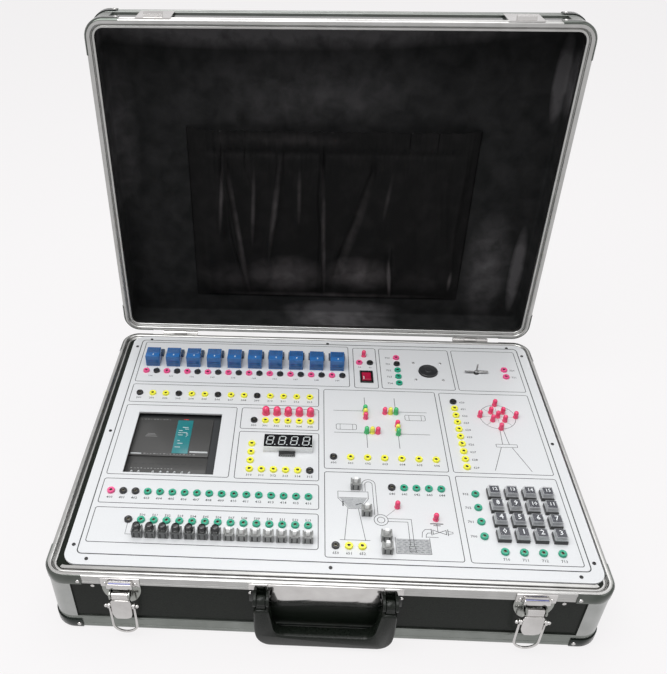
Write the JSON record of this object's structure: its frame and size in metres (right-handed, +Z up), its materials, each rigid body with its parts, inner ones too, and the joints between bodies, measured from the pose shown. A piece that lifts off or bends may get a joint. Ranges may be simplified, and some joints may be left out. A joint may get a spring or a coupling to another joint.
{
  "type": "programmable logic controller training case",
  "caption": "Open aluminium-framed case with a white control panel of sockets, lamps, relays, switches, keypad, display and motors, and a gathered pocket in its lid.",
  "frame": {"origin": "on the table, under the middle of the base", "axes": "+X along the front to the right, +Y from the front to the back, +Z up"},
  "size_m": [0.4924, 0.4277, 0.4428],
  "materials": {
    "boards": "black laminated plywood",
    "aluminium": "satin anodised",
    "hardware": "polished",
    "panel": "white, printed",
    "screws": "plated",
    "sockets": "moulded, in five colours",
    "lamps": "tinted clear",
    "relays": "moulded blue",
    "switch_plastic": "moulded",
    "white_plastic": "moulded",
    "key_plastic": "clear caps over dark inserts",
    "rocker_plastic": "translucent red",
    "display_plastic": "black face, white sides",
    "plc_plastic": "moulded dark grey",
    "black_plastic": "moulded",
    "motor_steel": "black and plated",
    "plush": "short black plush",
    "cloth": "gathered black cloth"
  },
  "bodies": {
    "base": {"base_boards": "boards", "base_frame": "aluminium", "base_fittings": "hardware", "control_panel": "panel", "panel_screws": "screws", "sockets": "sockets", "indicator_lamps": "lamps", "relays": "relays", "switch_bodies": "switch_plastic", "motors": "motor_steel", "display": "display_plastic", "plc_unit": "plc_plastic", "mains_inlet": "black_plastic"},
    "lid": {"lid_boards": "boards", "lid_frame": "aluminium", "lid_lining": "plush", "lid_pocket": "cloth", "lid_fittings": "hardware"},
    "handle": {"handle": "black_plastic"},
    "latch_lever_left": {"latch_lever_left": "hardware"},
    "latch_bail_left": {"latch_bail_left": "hardware"},
    "latch_lever_right": {"latch_lever_right": "hardware"},
    "latch_bail_right": {"latch_bail_right": "hardware"},
    "rocker": {"rocker": "rocker_plastic"},
    "stepper_dial": {"stepper_dial": "black_plastic"},
    "propeller": {"propeller": "screws"},
    "key_0": {"key_0": "key_plastic"},
    "key_1": {"key_1": "key_plastic"},
    "key_2": {"key_2": "key_plastic"},
    "key_3": {"key_3": "key_plastic"},
    "key_4": {"key_4": "key_plastic"},
    "key_5": {"key_5": "key_plastic"},
    "key_6": {"key_6": "key_plastic"},
    "key_7": {"key_7": "key_plastic"},
    "key_8": {"key_8": "key_plastic"},
    "key_9": {"key_9": "key_plastic"},
    "key_10": {"key_10": "key_plastic"},
    "key_11": {"key_11": "key_plastic"},
    "key_12": {"key_12": "key_plastic"},
    "key_13": {"key_13": "key_plastic"},
    "key_14": {"key_14": "key_plastic"},
    "key_15": {"key_15": "key_plastic"},
    "push_button_1": {"push_button_1": "switch_plastic"},
    "push_button_2": {"push_button_2": "switch_plastic"},
    "push_button_3": {"push_button_3": "switch_plastic"},
    "push_button_4": {"push_button_4": "switch_plastic"},
    "push_button_5": {"push_button_5": "switch_plastic"},
    "push_button_6": {"push_button_6": "switch_plastic"},
    "push_button_7": {"push_button_7": "switch_plastic"},
    "plunger_1": {"plunger_1": "white_plastic"},
    "plunger_2": {"plunger_2": "white_plastic"},
    "plunger_3": {"plunger_3": "white_plastic"},
    "plunger_4": {"plunger_4": "white_plastic"},
    "plunger_5": {"plunger_5": "white_plastic"},
    "plunger_6": {"plunger_6": "white_plastic"},
    "plunger_7": {"plunger_7": "white_plastic"},
    "level_plunger_1": {"level_plunger_1": "white_plastic"},
    "level_plunger_2": {"level_plunger_2": "white_plastic"},
    "level_plunger_3": {"level_plunger_3": "white_plastic"},
    "level_plunger_4": {"level_plunger_4": "white_plastic"}
  },
  "joints": [
    {"name": "lid_hinge", "type": "hinge", "parent": "base", "child": "lid", "pos_m": [0, 0.1824, 0.075], "axis": [1, 0, 0], "range_deg": [0, 91]},
    {"name": "handle_hinge", "type": "hinge", "parent": "base", "child": "handle", "pos_m": [0, -0.1872, 0.0605], "axis": [-1, 0, 0], "range_deg": [0, 90]},
    {"name": "latch_lever_left_hinge", "type": "hinge", "parent": "base", "child": "latch_lever_left", "pos_m": [-0.177, -0.1865, 0.06], "axis": [-1, 0, 0], "range_deg": [0, 110]},
    {"name": "latch_bail_left_hinge", "type": "hinge", "parent": "latch_lever_left", "child": "latch_bail_left", "pos_m": [-0.177, -0.1876, 0.046], "axis": [-1, 0, 0], "range_deg": [0, 85]},
    {"name": "latch_lever_right_hinge", "type": "hinge", "parent": "base", "child": "latch_lever_right", "pos_m": [0.177, -0.1865, 0.06], "axis": [-1, 0, 0], "range_deg": [0, 110]},
    {"name": "latch_bail_right_hinge", "type": "hinge", "parent": "latch_lever_right", "child": "latch_bail_right", "pos_m": [0.177, -0.1876, 0.046], "axis": [-1, 0, 0], "range_deg": [0, 85]},
    {"name": "rocker_tilt", "type": "hinge", "parent": "base", "child": "rocker", "pos_m": [0.0481, 0.1062, 0.0726], "axis": [1, 0, 0], "range_deg": [0, 14]},
    {"name": "stepper_turn", "type": "hinge", "parent": "base", "child": "stepper_dial", "pos_m": [0.1196, 0.1192, 0.075], "axis": [0, 0, 1], "continuous": true},
    {"name": "propeller_turn", "type": "hinge", "parent": "base", "child": "propeller", "pos_m": [0.1747, 0.1191, 0.075], "axis": [0, 0, 1], "continuous": true},
    {"name": "key_0_press", "type": "slide", "parent": "base", "child": "key_0", "axis": [0, 0, -1], "range_m": [0, 0.0004], "stiffness_N_per_m": 200, "springref_m": -0.0005},
    {"name": "key_1_press", "type": "slide", "parent": "base", "child": "key_1", "axis": [0, 0, -1], "range_m": [0, 0.0004], "stiffness_N_per_m": 200, "springref_m": -0.0005},
    {"name": "key_2_press", "type": "slide", "parent": "base", "child": "key_2", "axis": [0, 0, -1], "range_m": [0, 0.0004], "stiffness_N_per_m": 200, "springref_m": -0.0005},
    {"name": "key_3_press", "type": "slide", "parent": "base", "child": "key_3", "axis": [0, 0, -1], "range_m": [0, 0.0004], "stiffness_N_per_m": 200, "springref_m": -0.0005},
    {"name": "key_4_press", "type": "slide", "parent": "base", "child": "key_4", "axis": [0, 0, -1], "range_m": [0, 0.0004], "stiffness_N_per_m": 200, "springref_m": -0.0005},
    {"name": "key_5_press", "type": "slide", "parent": "base", "child": "key_5", "axis": [0, 0, -1], "range_m": [0, 0.0004], "stiffness_N_per_m": 200, "springref_m": -0.0005},
    {"name": "key_6_press", "type": "slide", "parent": "base", "child": "key_6", "axis": [0, 0, -1], "range_m": [0, 0.0004], "stiffness_N_per_m": 200, "springref_m": -0.0005},
    {"name": "key_7_press", "type": "slide", "parent": "base", "child": "key_7", "axis": [0, 0, -1], "range_m": [0, 0.0004], "stiffness_N_per_m": 200, "springref_m": -0.0005},
    {"name": "key_8_press", "type": "slide", "parent": "base", "child": "key_8", "axis": [0, 0, -1], "range_m": [0, 0.0004], "stiffness_N_per_m": 200, "springref_m": -0.0005},
    {"name": "key_9_press", "type": "slide", "parent": "base", "child": "key_9", "axis": [0, 0, -1], "range_m": [0, 0.0004], "stiffness_N_per_m": 200, "springref_m": -0.0005},
    {"name": "key_10_press", "type": "slide", "parent": "base", "child": "key_10", "axis": [0, 0, -1], "range_m": [0, 0.0004], "stiffness_N_per_m": 200, "springref_m": -0.0005},
    {"name": "key_11_press", "type": "slide", "parent": "base", "child": "key_11", "axis": [0, 0, -1], "range_m": [0, 0.0004], "stiffness_N_per_m": 200, "springref_m": -0.0005},
    {"name": "key_12_press", "type": "slide", "parent": "base", "child": "key_12", "axis": [0, 0, -1], "range_m": [0, 0.0004], "stiffness_N_per_m": 200, "springref_m": -0.0005},
    {"name": "key_13_press", "type": "slide", "parent": "base", "child": "key_13", "axis": [0, 0, -1], "range_m": [0, 0.0004], "stiffness_N_per_m": 200, "springref_m": -0.0005},
    {"name": "key_14_press", "type": "slide", "parent": "base", "child": "key_14", "axis": [0, 0, -1], "range_m": [0, 0.0004], "stiffness_N_per_m": 200, "springref_m": -0.0005},
    {"name": "key_15_press", "type": "slide", "parent": "base", "child": "key_15", "axis": [0, 0, -1], "range_m": [0, 0.0004], "stiffness_N_per_m": 200, "springref_m": -0.0005},
    {"name": "push_button_1_press", "type": "slide", "parent": "base", "child": "push_button_1", "axis": [0, 0, -1], "range_m": [0, 0.0015], "stiffness_N_per_m": 200, "springref_m": -0.0005},
    {"name": "push_button_2_press", "type": "slide", "parent": "base", "child": "push_button_2", "axis": [0, 0, -1], "range_m": [0, 0.0015], "stiffness_N_per_m": 200, "springref_m": -0.0005},
    {"name": "push_button_3_press", "type": "slide", "parent": "base", "child": "push_button_3", "axis": [0, 0, -1], "range_m": [0, 0.0015], "stiffness_N_per_m": 200, "springref_m": -0.0005},
    {"name": "push_button_4_press", "type": "slide", "parent": "base", "child": "push_button_4", "axis": [0, 0, -1], "range_m": [0, 0.0015], "stiffness_N_per_m": 200, "springref_m": -0.0005},
    {"name": "push_button_5_press", "type": "slide", "parent": "base", "child": "push_button_5", "axis": [0, 0, -1], "range_m": [0, 0.0015], "stiffness_N_per_m": 200, "springref_m": -0.0005},
    {"name": "push_button_6_press", "type": "slide", "parent": "base", "child": "push_button_6", "axis": [0, 0, -1], "range_m": [0, 0.0015], "stiffness_N_per_m": 200, "springref_m": -0.0005},
    {"name": "push_button_7_press", "type": "slide", "parent": "base", "child": "push_button_7", "axis": [0, 0, -1], "range_m": [0, 0.0015], "stiffness_N_per_m": 200, "springref_m": -0.0005},
    {"name": "plunger_1_press", "type": "slide", "parent": "base", "child": "plunger_1", "axis": [0, 0, -1], "range_m": [0, 0.0015], "stiffness_N_per_m": 200, "springref_m": -0.0005},
    {"name": "plunger_2_press", "type": "slide", "parent": "base", "child": "plunger_2", "axis": [0, 0, -1], "range_m": [0, 0.0015], "stiffness_N_per_m": 200, "springref_m": -0.0005},
    {"name": "plunger_3_press", "type": "slide", "parent": "base", "child": "plunger_3", "axis": [0, 0, -1], "range_m": [0, 0.0015], "stiffness_N_per_m": 200, "springref_m": -0.0005},
    {"name": "plunger_4_press", "type": "slide", "parent": "base", "child": "plunger_4", "axis": [0, 0, -1], "range_m": [0, 0.0015], "stiffness_N_per_m": 200, "springref_m": -0.0005},
    {"name": "plunger_5_press", "type": "slide", "parent": "base", "child": "plunger_5", "axis": [0, 0, -1], "range_m": [0, 0.0015], "stiffness_N_per_m": 200, "springref_m": -0.0005},
    {"name": "plunger_6_press", "type": "slide", "parent": "base", "child": "plunger_6", "axis": [0, 0, -1], "range_m": [0, 0.0015], "stiffness_N_per_m": 200, "springref_m": -0.0005},
    {"name": "plunger_7_press", "type": "slide", "parent": "base", "child": "plunger_7", "axis": [0, 0, -1], "range_m": [0, 0.0015], "stiffness_N_per_m": 200, "springref_m": -0.0005},
    {"name": "level_plunger_1_press", "type": "slide", "parent": "base", "child": "level_plunger_1", "axis": [0, 0, -1], "range_m": [0, 0.0015], "stiffness_N_per_m": 200, "springref_m": -0.0005},
    {"name": "level_plunger_2_press", "type": "slide", "parent": "base", "child": "level_plunger_2", "axis": [0, 0, -1], "range_m": [0, 0.0015], "stiffness_N_per_m": 200, "springref_m": -0.0005},
    {"name": "level_plunger_3_press", "type": "slide", "parent": "base", "child": "level_plunger_3", "axis": [0, 0, -1], "range_m": [0, 0.0015], "stiffness_N_per_m": 200, "springref_m": -0.0005},
    {"name": "level_plunger_4_press", "type": "slide", "parent": "base", "child": "level_plunger_4", "axis": [0, 0, -1], "range_m": [0, 0.0015], "stiffness_N_per_m": 200, "springref_m": -0.0005}
  ]
}
